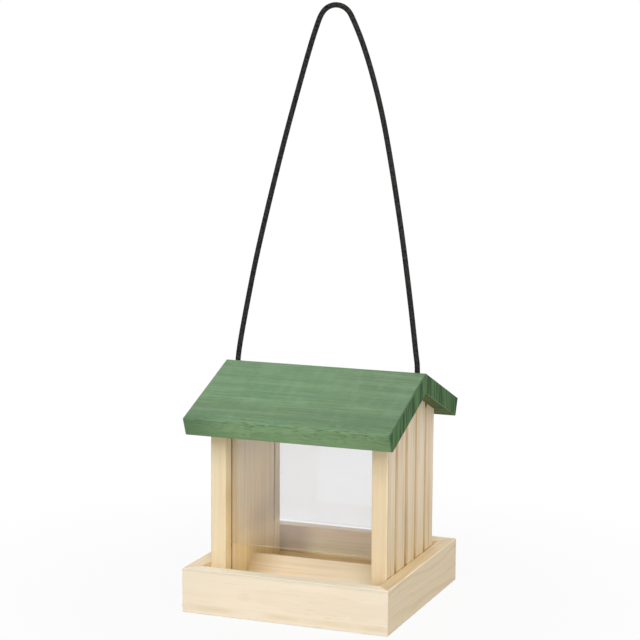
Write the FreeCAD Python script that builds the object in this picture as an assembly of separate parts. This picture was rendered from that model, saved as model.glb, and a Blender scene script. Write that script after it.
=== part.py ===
# Hanging bird feeder: a pine tray with two gable walls, two clear panes between them,
# and a green ridge roof that slides up along its hanging cord so that seed can be poured in.
# Millimetres. X runs along the ridge, Y from front to back, Z up.
# The origin is the centre of the tray's underside.
import FreeCAD
import Part
import math
import os

# Tray: four mitred rails round a floor board that lies flush with their undersides
tray_width = 170.0
tray_depth = 170.0
rail_height = 35.5
rail_thickness = 11.5
floor_thickness = 12.0

# Gable walls: they stand on the floor, against the side rails
wall_thickness = 12.7
wall_depth = 112.4
gable_apex = 171.1

# Upright V grooves on the walls' outer faces
first_strip = 20.7
groove_pitch = 23.4
groove_width = 5.0
groove_depth = 2.5

# Clear panes in slots on the walls' inner faces
pane_thickness = 2.0
pane_inset = 12.2
slot_depth = 4.0
slot_side_clearance = 0.5
pane_end_clearance = 0.5
seed_gap = 36.0
pane_roof_clearance = 1.0
stop_pin_diameter = 2.4
stop_pin_bite = 5.0

# Seed deflector: a three-sided batten across the middle of the floor
deflector_height = 17.5
deflector_slope = 45.0
deflector_flat = 1.5

# Roof: two boards with square-cut eaves, mitred together at the ridge
roof_overhang = 11.5
roof_slope_length = 90.0
roof_thickness = 15.0
roof_pitch = 21.8
dowel_diameter = 6.0
dowel_length = 20.0
dowel_drop = 8.5
dowel_pitch = 50.0
dowel_count = 3

# Eased edges
board_round = 0.8
roof_round = 0.6

# Countersunk screws, from below
screw_diameter = 3.5
screw_head_diameter = 7.0
screw_hole_clearance = 0.25
screw_recess = 0.3
wall_screw_bite = 22.0
wall_screw_spacing = 60.0
deflector_screw_bite = 10.0
deflector_screw_spacing = 80.0

# Corner nails: bent steel strip across each tray mitre, driven from below
corner_nail_inset = 4.0
corner_nail_leg = 7.0
corner_nail_strip = 0.8
corner_nail_height = 10.0
corner_nail_recess = 0.3

# Cord: up out of a hole in each wall, through the roof just behind the ridge, and over in a loop
cord_diameter = 4.0
cord_sides = 8
cord_stand_off = 2.75
cord_behind_ridge = 3.5
cord_bend_radius = 4.5
roof_hole_diameter = 5.0
wall_hole_diameter = 6.0
wall_hole_drop = 11.0
knot_diameter = 10.0
knot_length = 9.0
knot_tail = 6.0

# The loop's route above the ridge: X, and height over the ridge line
cord_route_left = [(-73.9, 17.5), (-69.5, 40.5), (-61.0, 82.0), (-49.7, 128.0), (-36.6, 178.0),
                   (-23.6, 223.0), (-16.3, 247.5), (-11.1, 263.5), (-5.1, 279.2)]
cord_route_top = [(5.1, 284.1)]
cord_route_right = [(15.8, 280.5), (21.6, 269.5), (28.2, 254.5), (36.2, 231.5), (45.5, 198.0),
                    (54.2, 154.0), (62.6, 105.0), (69.1, 60.0), (73.1, 29.0), (75.0, 13.5)]
cord_upright = 5.5
cord_arc_share = 0.45

# Places that several pieces share
pitch = math.radians(roof_pitch)
half_wall_depth = wall_depth / 2
wall_outer = tray_width / 2 - rail_thickness
wall_inner = wall_outer - wall_thickness
wall_middle = wall_outer - wall_thickness / 2
roof_width = 2 * (wall_outer + roof_overhang)
floor_top = floor_thickness
ridge_top = gable_apex + roof_thickness / math.cos(pitch)
pane_centre = half_wall_depth - pane_inset
pane_bottom = floor_top + seed_gap
slot_width = pane_thickness + 2 * slot_side_clearance
cord_x = wall_outer + cord_stand_off
cord_radius = cord_diameter / 2
wall_hole_height = gable_apex - wall_hole_drop
overrun = 1.0

UP = FreeCAD.Vector(0, 0, 1)
ALONG = FreeCAD.Vector(1, 0, 0)
BACK = FreeCAD.Vector(0, 1, 0)
ORIGIN = FreeCAD.Vector(0, 0, 0)


def roof_underside(y):
    """Height of the roof's underside, and of the walls' tops, at a distance y from the ridge."""
    return gable_apex - abs(y) * math.tan(pitch)


def block(low, high):
    """Box between two opposite corners."""
    size = [b - a for a, b in zip(low, high)]
    return Part.makeBox(size[0], size[1], size[2], FreeCAD.Vector(*low))


def face(points):
    """Flat face inside a closed outline of straight lines."""
    corners = [FreeCAD.Vector(*p) for p in points]
    return Part.Face(Part.makePolygon(corners + corners[:1]))


def bar_along_x(outline, x_start, x_end):
    """Straight bar with a (y, z) cross-section, from x_start to x_end."""
    section = face([(x_start, y, z) for y, z in outline])
    return section.extrude(ALONG * (x_end - x_start))


def post(outline, z_start, z_end):
    """Upright bar with an (x, y) cross-section, from z_start to z_end."""
    section = face([(x, y, z_start) for x, y in outline])
    return section.extrude(UP * (z_end - z_start))


def rounded(solid, radius, chosen):
    """The solid with a round on each edge that chosen() picks."""
    return solid.makeFillet(radius, [edge for edge in solid.Edges if chosen(edge)])


def mirrored(solid):
    """The same piece on the feeder's other side."""
    return solid.mirror(ORIGIN, ALONG)


def turned(profile, axis_point, axis):
    """Solid of revolution of a closed (distance along axis, radius) profile."""
    across = UP if abs(axis.z) < 0.5 else ALONG
    corners = [axis_point + axis * along + across * radius for along, radius in profile]
    outline = Part.makePolygon(corners + corners[:1])
    return Part.Face(outline).revolve(axis_point, axis, 360)


def tray_rail(length, reach, turn):
    """Rail with eased edges and 45 degree ends; reach is from the origin to its outer face."""
    outer = -reach
    inner = outer + rail_thickness
    bar = bar_along_x([(outer, 0), (inner, 0), (inner, rail_height), (outer, rail_height)], -length / 2, length / 2)

    def long_outer_or_top(edge):
        centre = edge.CenterOfMass
        lengthwise = edge.Length > length - overrun
        return lengthwise and (centre.z > rail_height / 2 or centre.y < (outer + inner) / 2)

    bar = rounded(bar, board_round, long_outer_or_top)
    mitre = post([(-length / 2, outer), (length / 2, outer), (length / 2 - rail_thickness, inner),
                  (rail_thickness - length / 2, inner)], -overrun, rail_height + overrun)
    rail = bar.common(mitre)
    rail.rotate(ORIGIN, UP, turn)
    return rail


def corner_nail(side_x, side_y, foot):
    """Bent strip across one mitre, or its slot: a leg in each of the two rails, from foot upwards."""
    x = side_x * (tray_width / 2 - corner_nail_inset)
    y = side_y * (tray_depth / 2 - corner_nail_inset)
    leg_x = side_x * corner_nail_leg
    leg_y = side_y * corner_nail_leg
    strip_x = side_x * corner_nail_strip
    strip_y = side_y * corner_nail_strip
    outline = [(x, y), (x - leg_x, y), (x - leg_x, y - strip_y), (x - strip_x, y - strip_y),
               (x - strip_x, y - leg_y), (x, y - leg_y)]
    return post(outline, foot, corner_nail_recess + corner_nail_height)


def countersunk(x, y, shank_radius, foot, top):
    """Upright shank over a 45 degree head, from foot to top: a screw, or the hole that takes it."""
    head_radius = screw_head_diameter / 2 + screw_recess - foot
    shoulder = foot + head_radius - shank_radius
    profile = [(foot, 0), (foot, head_radius), (shoulder, shank_radius), (top, shank_radius), (top, 0)]
    return turned(profile, FreeCAD.Vector(x, y, 0), UP)


def screw(x, y, bite):
    """Screw up through the floor that bites into what stands on it."""
    return countersunk(x, y, screw_diameter / 2, screw_recess, floor_thickness + bite)


def screw_hole(x, y):
    """Clearance hole with its countersink, for one screw through the floor."""
    return countersunk(x, y, screw_diameter / 2 + screw_hole_clearance, -overrun, floor_thickness + overrun)


def floor_board(screws_at):
    """Floor between the rails, with a hole for each screw."""
    half_x = tray_width / 2 - rail_thickness
    half_y = tray_depth / 2 - rail_thickness
    board = block((-half_x, -half_y, 0), (half_x, half_y, floor_thickness))
    for x, y in screws_at:
        board = board.cut(screw_hole(x, y))
    return board


def stop_pin(y):
    """Pin across the right wall's slot, under a pane's lower corner."""
    radius = stop_pin_diameter / 2
    foot = FreeCAD.Vector(wall_inner, y, pane_bottom - radius)
    return Part.makeCylinder(radius, slot_depth + stop_pin_bite, foot, ALONG)


def groove(y):
    """V groove up the right wall's outer face."""
    half = groove_width / 2
    outline = [(wall_outer + overrun, y - half), (wall_outer + overrun, y + half), (wall_outer, y + half),
               (wall_outer - groove_depth, y), (wall_outer, y - half)]
    return post(outline, floor_top - overrun, gable_apex + overrun)


def groove_places():
    """Distances of the grooves from the ridge plane, counted from the wall's front edge."""
    count = int((wall_depth - first_strip - groove_width) / groove_pitch) + 1
    return [first_strip - half_wall_depth + i * groove_pitch for i in range(count)]


def gable_wall(fasteners):
    """Right gable wall: five-sided board, grooved outside and slotted inside."""
    eave = roof_underside(half_wall_depth)
    outline = [(-half_wall_depth, floor_top), (half_wall_depth, floor_top), (half_wall_depth, eave),
               (0, gable_apex), (-half_wall_depth, eave)]
    wall = bar_along_x(outline, wall_inner, wall_outer)
    wall = rounded(wall, board_round, lambda edge: edge.Length > (eave - floor_top) - overrun
                   and abs(edge.tangentAt(edge.FirstParameter).z) > 0.99)
    for y in groove_places():
        wall = wall.cut(groove(y))
    for y in (-pane_centre, pane_centre):
        low = (wall_inner - overrun, y - slot_width / 2, floor_top - overrun)
        high = (wall_inner + slot_depth, y + slot_width / 2, gable_apex)
        wall = wall.cut(block(low, high))
    hole_start = FreeCAD.Vector(wall_inner - overrun, cord_behind_ridge, wall_hole_height)
    wall = wall.cut(Part.makeCylinder(wall_hole_diameter / 2, wall_thickness + 2 * overrun, hole_start, ALONG))
    for fastener in fasteners:
        wall = wall.cut(fastener)
    return wall


def pane(y):
    """Clear sheet in the slots at y, standing on its stop pins."""
    half = wall_inner + slot_depth - pane_end_clearance
    top = roof_underside(abs(y) + pane_thickness / 2) - pane_roof_clearance
    low = (-half, y - pane_thickness / 2, pane_bottom)
    high = (half, y + pane_thickness / 2, top)
    return block(low, high)


def seed_deflector(fasteners):
    """Batten between the walls that sheds seed to the front and back of the tray."""
    half_flat = deflector_flat / 2
    half_base = half_flat + deflector_height / math.tan(math.radians(deflector_slope))
    crest = floor_top + deflector_height
    outline = [(-half_base, floor_top), (half_base, floor_top), (half_flat, crest), (-half_flat, crest)]
    batten = bar_along_x(outline, -wall_inner, wall_inner)
    for fastener in fasteners:
        batten = batten.cut(fastener)
    return batten


def ridge_dowel(x):
    """Wooden dowel across the ridge joint."""
    start = FreeCAD.Vector(x, -dowel_length / 2, ridge_top - dowel_drop)
    return Part.makeCylinder(dowel_diameter / 2, dowel_length, start, BACK)


def roof_board(side, cuts):
    """One slope of the roof: side is -1 for the front board and 1 for the back one."""
    run = roof_slope_length * math.cos(pitch)
    fall = roof_slope_length * math.sin(pitch)
    eave_in = run - roof_thickness * math.sin(pitch)
    eave_low = ridge_top - fall - roof_thickness * math.cos(pitch)
    outline = [(0, gable_apex), (0, ridge_top), (side * run, ridge_top - fall), (side * eave_in, eave_low)]
    board = bar_along_x(outline, -roof_width / 2, roof_width / 2)
    board = rounded(board, roof_round, lambda edge: abs(edge.CenterOfMass.y) > overrun)
    for cut in cuts:
        board = board.cut(cut)
    return board


def roof_hole(side):
    """Upright hole for the cord, just behind the ridge."""
    start = FreeCAD.Vector(side * cord_x, cord_behind_ridge, gable_apex - roof_thickness)
    return Part.makeCylinder(roof_hole_diameter / 2, 3 * roof_thickness, start, UP)


def ring(centre, direction, radius):
    """Corners of a section across a cord whose direction lies in the plane of the loop."""
    across = BACK.cross(direction).normalize()
    angles = [2 * math.pi * i / cord_sides for i in range(cord_sides)]
    return [centre + (BACK * math.cos(angle) + across * math.sin(angle)) * radius for angle in angles]


def tube(edges, start, direction):
    """Cord along a path of lines and arcs that meet without a corner."""
    section = ring(start, direction, cord_radius)
    return Part.Wire(edges).makePipeShell([Part.makePolygon(section + section[:1])], True, False)


def cord_path(points):
    """Edges of a cord through a route: straight runs joined by arcs as large as the runs allow."""
    edges = []
    radii = []
    last = points[0]
    for before, corner, after in zip(points, points[1:], points[2:]):
        arriving = (corner - before).normalize()
        leaving = (after - corner).normalize()
        turn = arriving.getAngle(leaving)
        reach = cord_arc_share * min((corner - before).Length, (after - corner).Length)
        start = corner - arriving * reach
        end = corner + leaving * reach
        radius = reach / math.tan(turn / 2)
        bisector = (leaving - arriving).normalize()
        centre = corner + bisector * (radius / math.cos(turn / 2))
        middle = centre - bisector * radius
        edges.append(Part.LineSegment(last, start).toShape())
        edges.append(Part.Arc(start, middle, end).toShape())
        radii.append(radius)
        last = end
    edges.append(Part.LineSegment(last, points[-1]).toShape())
    return edges, radii


def hanging_cord():
    """The free loop, from one roof hole to the other."""
    left_foot = [(-cord_x, 0.0), (-cord_x, cord_upright)]
    right_foot = [(cord_x, cord_upright), (cord_x, 0.0)]
    route = left_foot + cord_route_left + cord_route_top + cord_route_right + right_foot
    points = [FreeCAD.Vector(x, cord_behind_ridge, ridge_top + rise) for x, rise in route]
    edges, radii = cord_path(points)
    loop = tube(edges, points[0], points[1] - points[0])
    length = sum(edge.Length for edge in edges)
    section = cord_sides / 2 * math.sin(2 * math.pi / cord_sides) * cord_radius ** 2
    share = loop.Volume / (section * length)
    print("cord arc radii", " ".join(f"{radius:.1f}" for radius in radii))
    print(f"cord loop length {length:.1f}, volume over section times length {share:.5f}")
    return loop


def cord_end():
    """Right end of the cord: from the ridge down through the roof, round a bend and through the wall."""
    bend = cord_bend_radius
    top = FreeCAD.Vector(cord_x, cord_behind_ridge, ridge_top)
    bend_start = FreeCAD.Vector(cord_x, cord_behind_ridge, wall_hole_height + bend)
    bend_end = FreeCAD.Vector(cord_x - bend, cord_behind_ridge, wall_hole_height)
    slack = bend * (1 - math.sqrt(0.5))
    bend_middle = FreeCAD.Vector(cord_x - slack, cord_behind_ridge, wall_hole_height + slack)
    inside = FreeCAD.Vector(wall_inner, cord_behind_ridge, wall_hole_height)
    edges = [Part.LineSegment(top, bend_start).toShape(), Part.Arc(bend_start, bend_middle, bend_end).toShape(),
             Part.LineSegment(bend_end, inside).toShape()]
    return tube(edges, top, bend_start - top)


def cord_knot():
    """Right stopper knot, drawn up against the wall's inner face, with the cord's tail."""
    knot_radius = knot_diameter / 2
    seat_radius = (knot_radius + wall_hole_diameter / 2) / 2
    seat = FreeCAD.Vector(wall_inner, cord_behind_ridge, wall_hole_height)
    profile = [(0, seat_radius), (knot_length / 4, knot_radius), (knot_length * 3 / 4, knot_radius),
               (knot_length, cord_radius), (knot_length + knot_tail, cord_radius)]
    inward = ALONG * -1
    sections = [ring(seat + inward * along, inward, radius) for along, radius in profile]
    skin = [face(sections[0]), face(sections[-1])]
    for near, far in zip(sections, sections[1:]):
        for i in range(cord_sides):
            skin.append(face([near[i - 1], near[i], far[i], far[i - 1]]))
    return Part.makeSolid(Part.makeShell(skin))


# Fasteners first, because the boards are cut to take them
corners = [(side_x, side_y) for side_x in (-1, 1) for side_y in (-1, 1)]
corner_nails = [corner_nail(side_x, side_y, corner_nail_recess) for side_x, side_y in corners]
corner_slots = [corner_nail(side_x, side_y, -overrun) for side_x, side_y in corners]
wall_screw_places = [(wall_middle, -wall_screw_spacing / 2), (wall_middle, wall_screw_spacing / 2)]
right_screws = [screw(x, y, wall_screw_bite) for x, y in wall_screw_places]
left_screws = [mirrored(item) for item in right_screws]
deflector_screw_places = [(-deflector_screw_spacing / 2, 0), (deflector_screw_spacing / 2, 0)]
deflector_screws = [screw(x, y, deflector_screw_bite) for x, y in deflector_screw_places]
right_pins = [stop_pin(-pane_centre), stop_pin(pane_centre)]
left_pins = [mirrored(pin) for pin in right_pins]
dowels = [ridge_dowel((i - (dowel_count - 1) / 2) * dowel_pitch) for i in range(dowel_count)]
floor_screw_places = wall_screw_places + [(-x, y) for x, y in wall_screw_places] + deflector_screw_places

rails = {
    "tray_rail_front": tray_rail(tray_width, tray_depth / 2, 0),
    "tray_rail_right": tray_rail(tray_depth, tray_width / 2, 90),
    "tray_rail_back": tray_rail(tray_width, tray_depth / 2, 180),
    "tray_rail_left": tray_rail(tray_depth, tray_width / 2, 270),
}
right_wall = gable_wall(right_screws + right_pins)
right_cord_end = cord_end()
right_knot = cord_knot()

nodes = {name: rail.cut(Part.makeCompound(corner_slots)) for name, rail in rails.items()}
nodes["tray_corner_nails"] = Part.makeCompound(corner_nails)
nodes["floor_board"] = floor_board(floor_screw_places)
nodes["gable_wall_left"] = mirrored(right_wall)
nodes["gable_wall_right"] = right_wall
nodes["wall_screws_left"] = Part.makeCompound(left_screws)
nodes["wall_screws_right"] = Part.makeCompound(right_screws)
nodes["seed_deflector"] = seed_deflector(deflector_screws)
nodes["deflector_screws"] = Part.makeCompound(deflector_screws)
nodes["front_pane"] = pane(-pane_centre)
nodes["back_pane"] = pane(pane_centre)
nodes["pane_stop_pins"] = Part.makeCompound(left_pins + right_pins)
nodes["roof_board_front"] = roof_board(-1, dowels)
nodes["roof_board_back"] = roof_board(1, dowels + [roof_hole(-1), roof_hole(1)])
nodes["ridge_dowels"] = Part.makeCompound(dowels)
nodes["hanging_cord"] = hanging_cord()
nodes["cord_end_left"] = mirrored(right_cord_end)
nodes["cord_end_right"] = right_cord_end
nodes["cord_knot_left"] = mirrored(right_knot)
nodes["cord_knot_right"] = right_knot

os.makedirs("parts", exist_ok=True)
for name, shape in nodes.items():
    shape.exportStep(f"parts/{name}.step")
    print(name, "solids", len(shape.Solids), "valid", shape.isValid(), f"volume {shape.Volume:.1f}")
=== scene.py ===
import math

import bpy
from mathutils import Matrix, Vector


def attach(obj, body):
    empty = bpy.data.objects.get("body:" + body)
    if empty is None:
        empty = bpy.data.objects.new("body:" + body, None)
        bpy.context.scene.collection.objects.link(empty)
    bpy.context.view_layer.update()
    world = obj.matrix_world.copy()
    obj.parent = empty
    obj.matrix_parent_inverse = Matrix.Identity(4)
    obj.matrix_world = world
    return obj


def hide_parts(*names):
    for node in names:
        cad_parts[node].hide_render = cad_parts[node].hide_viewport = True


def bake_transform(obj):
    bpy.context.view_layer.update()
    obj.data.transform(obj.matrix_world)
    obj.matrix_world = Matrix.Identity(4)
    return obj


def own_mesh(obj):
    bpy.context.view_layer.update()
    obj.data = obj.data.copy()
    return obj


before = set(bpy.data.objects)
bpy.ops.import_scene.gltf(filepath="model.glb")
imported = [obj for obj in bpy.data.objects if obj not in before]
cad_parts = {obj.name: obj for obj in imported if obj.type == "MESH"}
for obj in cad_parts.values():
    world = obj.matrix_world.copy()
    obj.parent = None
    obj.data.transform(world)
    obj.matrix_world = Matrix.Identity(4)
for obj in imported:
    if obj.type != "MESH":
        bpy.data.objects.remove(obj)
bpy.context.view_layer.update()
scene = bpy.context.scene

# Millimetres in a metre
MILLIMETRES = 1000.0

# Sizes of the part, in metres
RIDGE_TOP = 0.187255
ROOF_PITCH = math.radians(21.8)
WALL_OUTER = 0.0735
WALL_INNER = 0.0608
WALL_MIDDLE = (WALL_OUTER + WALL_INNER) / 2
WALL_HOLE_Z = 0.1601
RAIL_HEIGHT = 0.0355
SLOT_Y = 0.044
PANE_BOTTOM = 0.0480

# The cord: its place, its size, and how far its bend in the wall reaches
CORD_X = 0.07625
CORD_Y = 0.0035
CORD_DIAMETER = 0.004
CORD_BEND = 0.0045
BEND_REACH = CORD_BEND + 0.001
KNOT_DIAMETER = CORD_DIAMETER * 0.85

# Route of the cord's loop: X, and height over the ridge line
CORD_ROUTE = [
    (-CORD_X, 0.0), (-CORD_X, 0.0020), (-0.0741, 0.0165), (-0.0695, 0.0405), (-0.0610, 0.0820),
    (-0.0497, 0.1280), (-0.0366, 0.1780), (-0.0236, 0.2230), (-0.0163, 0.2475), (-0.0111, 0.2635),
    (-0.0051, 0.2792), (0.0051, 0.2841), (0.0158, 0.2805), (0.0216, 0.2695), (0.0282, 0.2545),
    (0.0362, 0.2315), (0.0455, 0.1980), (0.0542, 0.1540), (0.0626, 0.1050), (0.0691, 0.0600),
    (0.0731, 0.0290), (0.0750, 0.0135), (CORD_X, 0.0055), (CORD_X, 0.0),
]

# Route of a cord end, down through the roof and into the wall: distance from the middle, and height
END_ROUTE = [
    (CORD_X, RIDGE_TOP), (CORD_X, 0.1760), (CORD_X, WALL_HOLE_Z + BEND_REACH), (CORD_X, WALL_HOLE_Z),
    (CORD_X - BEND_REACH, WALL_HOLE_Z), (0.067, WALL_HOLE_Z), (WALL_INNER, WALL_HOLE_Z),
]

# Route of a stopper knot: inward from the wall, to the back, and up
KNOT_ROUTE = [
    (0.0000, 0.0000, 0.0000), (0.0015, -0.0006, 0.0000), (0.0045, -0.0016, 0.0002),
    (0.0080, -0.0020, 0.0004), (0.0090, -0.0006, 0.0022), (0.0077, 0.0022, 0.0026),
    (0.0064, 0.0033, 0.0002), (0.0056, 0.0019, -0.0028), (0.0048, -0.0020, -0.0030),
    (0.0040, -0.0035, 0.0000), (0.0032, -0.0019, 0.0029), (0.0024, 0.0016, 0.0028),
    (0.0018, 0.0031, 0.0004), (0.0034, 0.0020, -0.0006), (0.0066, 0.0014, -0.0002),
    (0.0105, 0.0009, 0.0000), (0.0149, 0.0004, -0.0006),
]

# Steps of the splines between two control points
LOOP_STEPS = 130
END_STEPS = 40

# The braid: sides of its tube, rings in a diameter, and its strands' count, lay and form
BRAID_SIDES = 36
BRAID_RINGS = 10
BRAID_CARRIERS = 6
BRAID_LAY = 0.0019
BRAID_CORE = 0.455
BRAID_PROUD = 0.095
BRAID_ARCH = 0.45

# Screws: the height of the head's flat, the radii of head, shank and tip, the point's length, and the bevel
SCREW_FOOT = 0.0003
SCREW_HEAD = 0.0035
SCREW_SHANK = 0.00175
SCREW_TIP = 0.0002
SCREW_POINT = 0.004
SCREW_EASE = 0.0001
SCREW_SIDES = 48

# Where the screws stand, how high they reach, and how each is turned, in radians
WALL_SCREW_Y = 0.030
WALL_SCREW_TOP = 0.034
DEFLECTOR_SCREW_X = 0.040
DEFLECTOR_SCREW_TOP = 0.022
FIRST_TURN = 0.6
NEXT_TURN = 1.9
TURN_WITH_X = 40

# The screws' cross recess: its arms, its depth, and how far its cutter starts below the head
RECESS_ARM = 0.0019
RECESS_HALF_WIDTH = 0.00045
RECESS_DEPTH = 0.0017
RECESS_START = 0.0005
RECESS_TAPER = 0.35

# Camera at the photograph's viewing angle, in degrees, metres and millimetres of lens
CAMERA_AZIMUTH = 21.225
CAMERA_ELEVATION = 8.263
CAMERA_ROLL = 0.380
CAMERA_EYE = Vector((0.5529, -1.4343, 0.4476))
CAMERA_LENS = 110.606
CAMERA_SENSOR = 36.0

# Floor, room and lamps
FLOOR_HALF = 6
FLOOR_Z = -0.0002
FLOOR_SHADOW = 0.065
SHADOW_REACH = (0.12, 0.45)
ROOM_LEVEL = 0.18
LAMP_AIM = Vector((0, 0, 0.1))
WHITE = (1, 1, 1, 1)


def srgb(red, green, blue, alpha=1.0):
    """Linear colour of a screen colour given from 0 to 255."""
    def linear(value):
        value /= 255
        return value / 12.92 if value <= 0.04045 else ((value + 0.055) / 1.055) ** 2.4
    return (linear(red), linear(green), linear(blue), alpha)


# Pine: the early and the late wood's colour on each kind of board
RAIL_TONES = srgb(248, 233, 208), srgb(225, 202, 165)
SIDE_TONES = srgb(240, 219, 181), srgb(203, 175, 132)
BACK_TONES = srgb(254, 233, 202), srgb(236, 203, 162)
LEFT_TONES = srgb(242, 224, 188), srgb(218, 184, 138)
RIGHT_TONES = srgb(249, 228, 192), srgb(216, 184, 144)
DEFLECTOR_TONES = srgb(248, 231, 203), srgb(221, 193, 151)

# Pine: what lies over those tones, painted light among it
PALE_THREAD = srgb(252, 240, 216)
WARM_CLOUD = srgb(248, 218, 180)
DULL_CLOUD = srgb(236, 230, 204)
FLECK = srgb(190, 170, 132)
WORN_AND_LIT_EDGE = srgb(250, 238, 214)
SAWN_END = srgb(214, 182, 134)
FRONT_RAIL_LIT_TOP = srgb(255, 244, 218)
DEFLECTOR_LIT_RIGHT = srgb(255, 242, 212)

# Walls
LEFT_POST = srgb(238, 220, 182)
RIGHT_POST = srgb(219, 196, 157)
LIT_POST = srgb(255, 233, 188)
WARM_INSIDE = srgb(255, 224, 158)
LIT_INSIDE = srgb(255, 236, 192)
FRONT_SLOT = srgb(192, 149, 92)
BACK_SLOT = srgb(222, 190, 142)

# Green stain, with the roof boards' painted shade and highlights
STAIN = srgb(120, 154, 115)
STAIN_LATE = srgb(91, 126, 89)
STAIN_DARK = srgb(100, 136, 98)
STAIN_PALE = srgb(138, 170, 132)
STAIN_DARK_LINE = srgb(94, 129, 90)
STAIN_PALE_LINE = srgb(142, 174, 130)
STAIN_BRUSHED = srgb(140, 171, 136)
STAIN_BRIGHT = srgb(160, 188, 126)
EAVE = srgb(130, 161, 112)
EAVE_LATE = srgb(76, 106, 68)
EAVE_CORNER = srgb(82, 114, 78)
DARK_DASH = srgb(76, 108, 74)
PALE_DASH = srgb(148, 178, 126)
UNDER_PALE = srgb(112, 128, 62)
UNDER_DARK = srgb(60, 76, 36)
DRIP = srgb(58, 88, 58)
END_DARK = srgb(42, 72, 38)
END_PALE = srgb(92, 131, 80)
EDGE_DASH = srgb(78, 110, 74)
EDGE_RIGHT = srgb(50, 78, 50)
EDGE_LOWER_RIGHT = srgb(158, 178, 128)
EDGE_LEFT = srgb(196, 208, 192)

# Shades: the shares of red, green and blue that a mark or a painted shade leaves of the wood's colour
LIP_SHADE = (0.86, 0.83, 0.74)
MIDDLE_SHADE = (0.86, 0.87, 0.87)
CORNER_SHADE = (0.77, 0.73, 0.66)
WALL_FOOT_SHADE = (0.56, 0.60, 0.57)
GRAIN_SHADE = (0.92, 0.89, 0.84)
LOW_SHADE = (0.89, 0.86, 0.77)
GROOVE_SHADE = (0.64, 0.51, 0.34)
GROOVE_FOOT_SHADE = (0.60, 0.46, 0.30)
UNDER_ROOF_SHADE = (0.20, 0.17, 0.13)
JOINT_SHADE = (0.34, 0.26, 0.18)
RAIL_BAND_SHADE = (0.87, 0.88, 0.89)
RAIL_STREAK_SHADE = (0.90, 0.87, 0.79)
RAIL_RIGHT_SHADE = (0.96, 0.96, 0.97)
RAIL_TOP_SHADE = (0.90, 0.85, 0.77)
BACK_FOOT_SHADE = (0.87, 0.98, 0.95)
BACK_LEFT_SHADE = (0.63, 0.55, 0.51)
DEFLECTOR_SHADE = (0.56, 0.49, 0.35)
FLOOR_SHADE = (0.95, 0.86, 0.70)
ROOF_RIGHT_SHADE = (0.86, 0.85, 0.86)
EAVE_RIGHT_SHADE = (0.84, 0.84, 0.82)
EAVE_BAND_SHADE = (0.76, 0.77, 0.75)

# Panes: their colours, how much each mark and the painted highlight of the lower edge veil them, and the
# height over which the veil grows
PANE_MIRROR = srgb(250, 251, 255)
PANE_EDGE_LIGHT = srgb(255, 236, 214)
PANE_TINT = (0.957, 0.956, 0.958, 1.0)
PANE_VEIL = 0.073
SMEAR_VEIL = 0.020
SCRATCH_VEIL = 0.016
EDGE_LIGHT_VEIL = 0.14
VEIL_RISE = 0.016

# Metal, cord and floor
BRIGHT_ZINC = srgb(200, 202, 204)
DULL_ZINC = srgb(168, 170, 172)
BROWN_STEEL = srgb(176, 150, 112)
DARK_STEEL = srgb(140, 116, 84)
TARNISH = srgb(142, 140, 134)
CORD_DARK = srgb(10, 10, 10)
CORD_PALE = srgb(52, 50, 48)
CORD_DUST = srgb(62, 63, 60)
FLOOR_GREY = srgb(190, 190, 190)

# A board's own directions, and how they lie in the part
ALONG, ACROSS, THROUGH = range(3)
ALONG_X = ((1, 0, 0), (0, 1, 0), (0, 0, 1))
ALONG_Y = ((0, 1, 0), (1, 0, 0), (0, 0, 1))
ALONG_Z = ((0, 0, 1), (1, 0, 0), (0, 1, 0))

# Between these, the normal's share along a direction says that a face looks that way
FLAT = (0.80, 0.95)
TURNED = (0.10, 0.40)
UNDERSIDE = (0.50, 0.90)

# Between these, in millimetres, a wall's normal times its place says which of its faces is the outer one
OUTWARD = (30.0, 50.0)

# Small knots in the roof's eaves: place along, across and through the board, size, and rise of the rings
EAVE_KNOTS = [
    (-79, 20, 166, 2.6, 4.0), (-57, 21, 170, 2.4, 3.6), (-35, 21, 163, 2.2, 3.4),
    (17, 21, 167, 2.8, 4.0), (44, 20, 164, 2.4, 3.6), (70, 21, 169, 2.2, 3.4),
]

# Length of such a knot in widths
KNOT_STRETCH = 1.7

# The stain's brush marks, along and across a board in millimetres, and the bars of the end grain
BRUSH_MARK = (10, 24)
BARS_PER_METRE = 260


class Socket:
    """A node's output. Operators on it add Math nodes."""

    def __init__(self, finish, output):
        self.finish = finish
        self.output = output

    def pick(self, name):
        """Another output of the same node."""
        return Socket(self.finish, self.output.node.outputs[name])

    def math(self, operation, *terms):
        return self.finish.add("ShaderNodeMath", {"operation": operation}, dict(enumerate(terms)))

    def __add__(self, other):
        return self.math("ADD", self, other)

    def __radd__(self, other):
        return self.math("ADD", other, self)

    def __sub__(self, other):
        return self.math("SUBTRACT", self, other)

    def __rsub__(self, other):
        return self.math("SUBTRACT", other, self)

    def __mul__(self, other):
        return self.math("MULTIPLY", self, other)

    def __rmul__(self, other):
        return self.math("MULTIPLY", other, self)

    def __truediv__(self, other):
        return self.math("DIVIDE", self, other)

    def __rtruediv__(self, other):
        return self.math("DIVIDE", other, self)

    def __pow__(self, other):
        return self.math("POWER", self, other)

    def __abs__(self):
        return self.math("ABSOLUTE", self)

    def exp(self):
        return self.math("EXPONENT", self)

    def fract(self):
        return self.math("FRACT", self)

    def floor(self):
        return self.math("FLOOR", self)

    def most(self, other):
        return self.math("MAXIMUM", self, other)

    def smooth(self, low, high):
        """From 0 at low to 1 at high, by a smooth step. Low may be the higher of the two."""
        sockets = {"Value": self, "From Min": low, "From Max": high}
        return self.finish.add("ShaderNodeMapRange", {"interpolation_type": "SMOOTHSTEP"}, sockets)

    def fade(self, low, high):
        """1 below low, 0 above high, and a smooth step between them."""
        return 1 - self.smooth(low, high)


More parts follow.
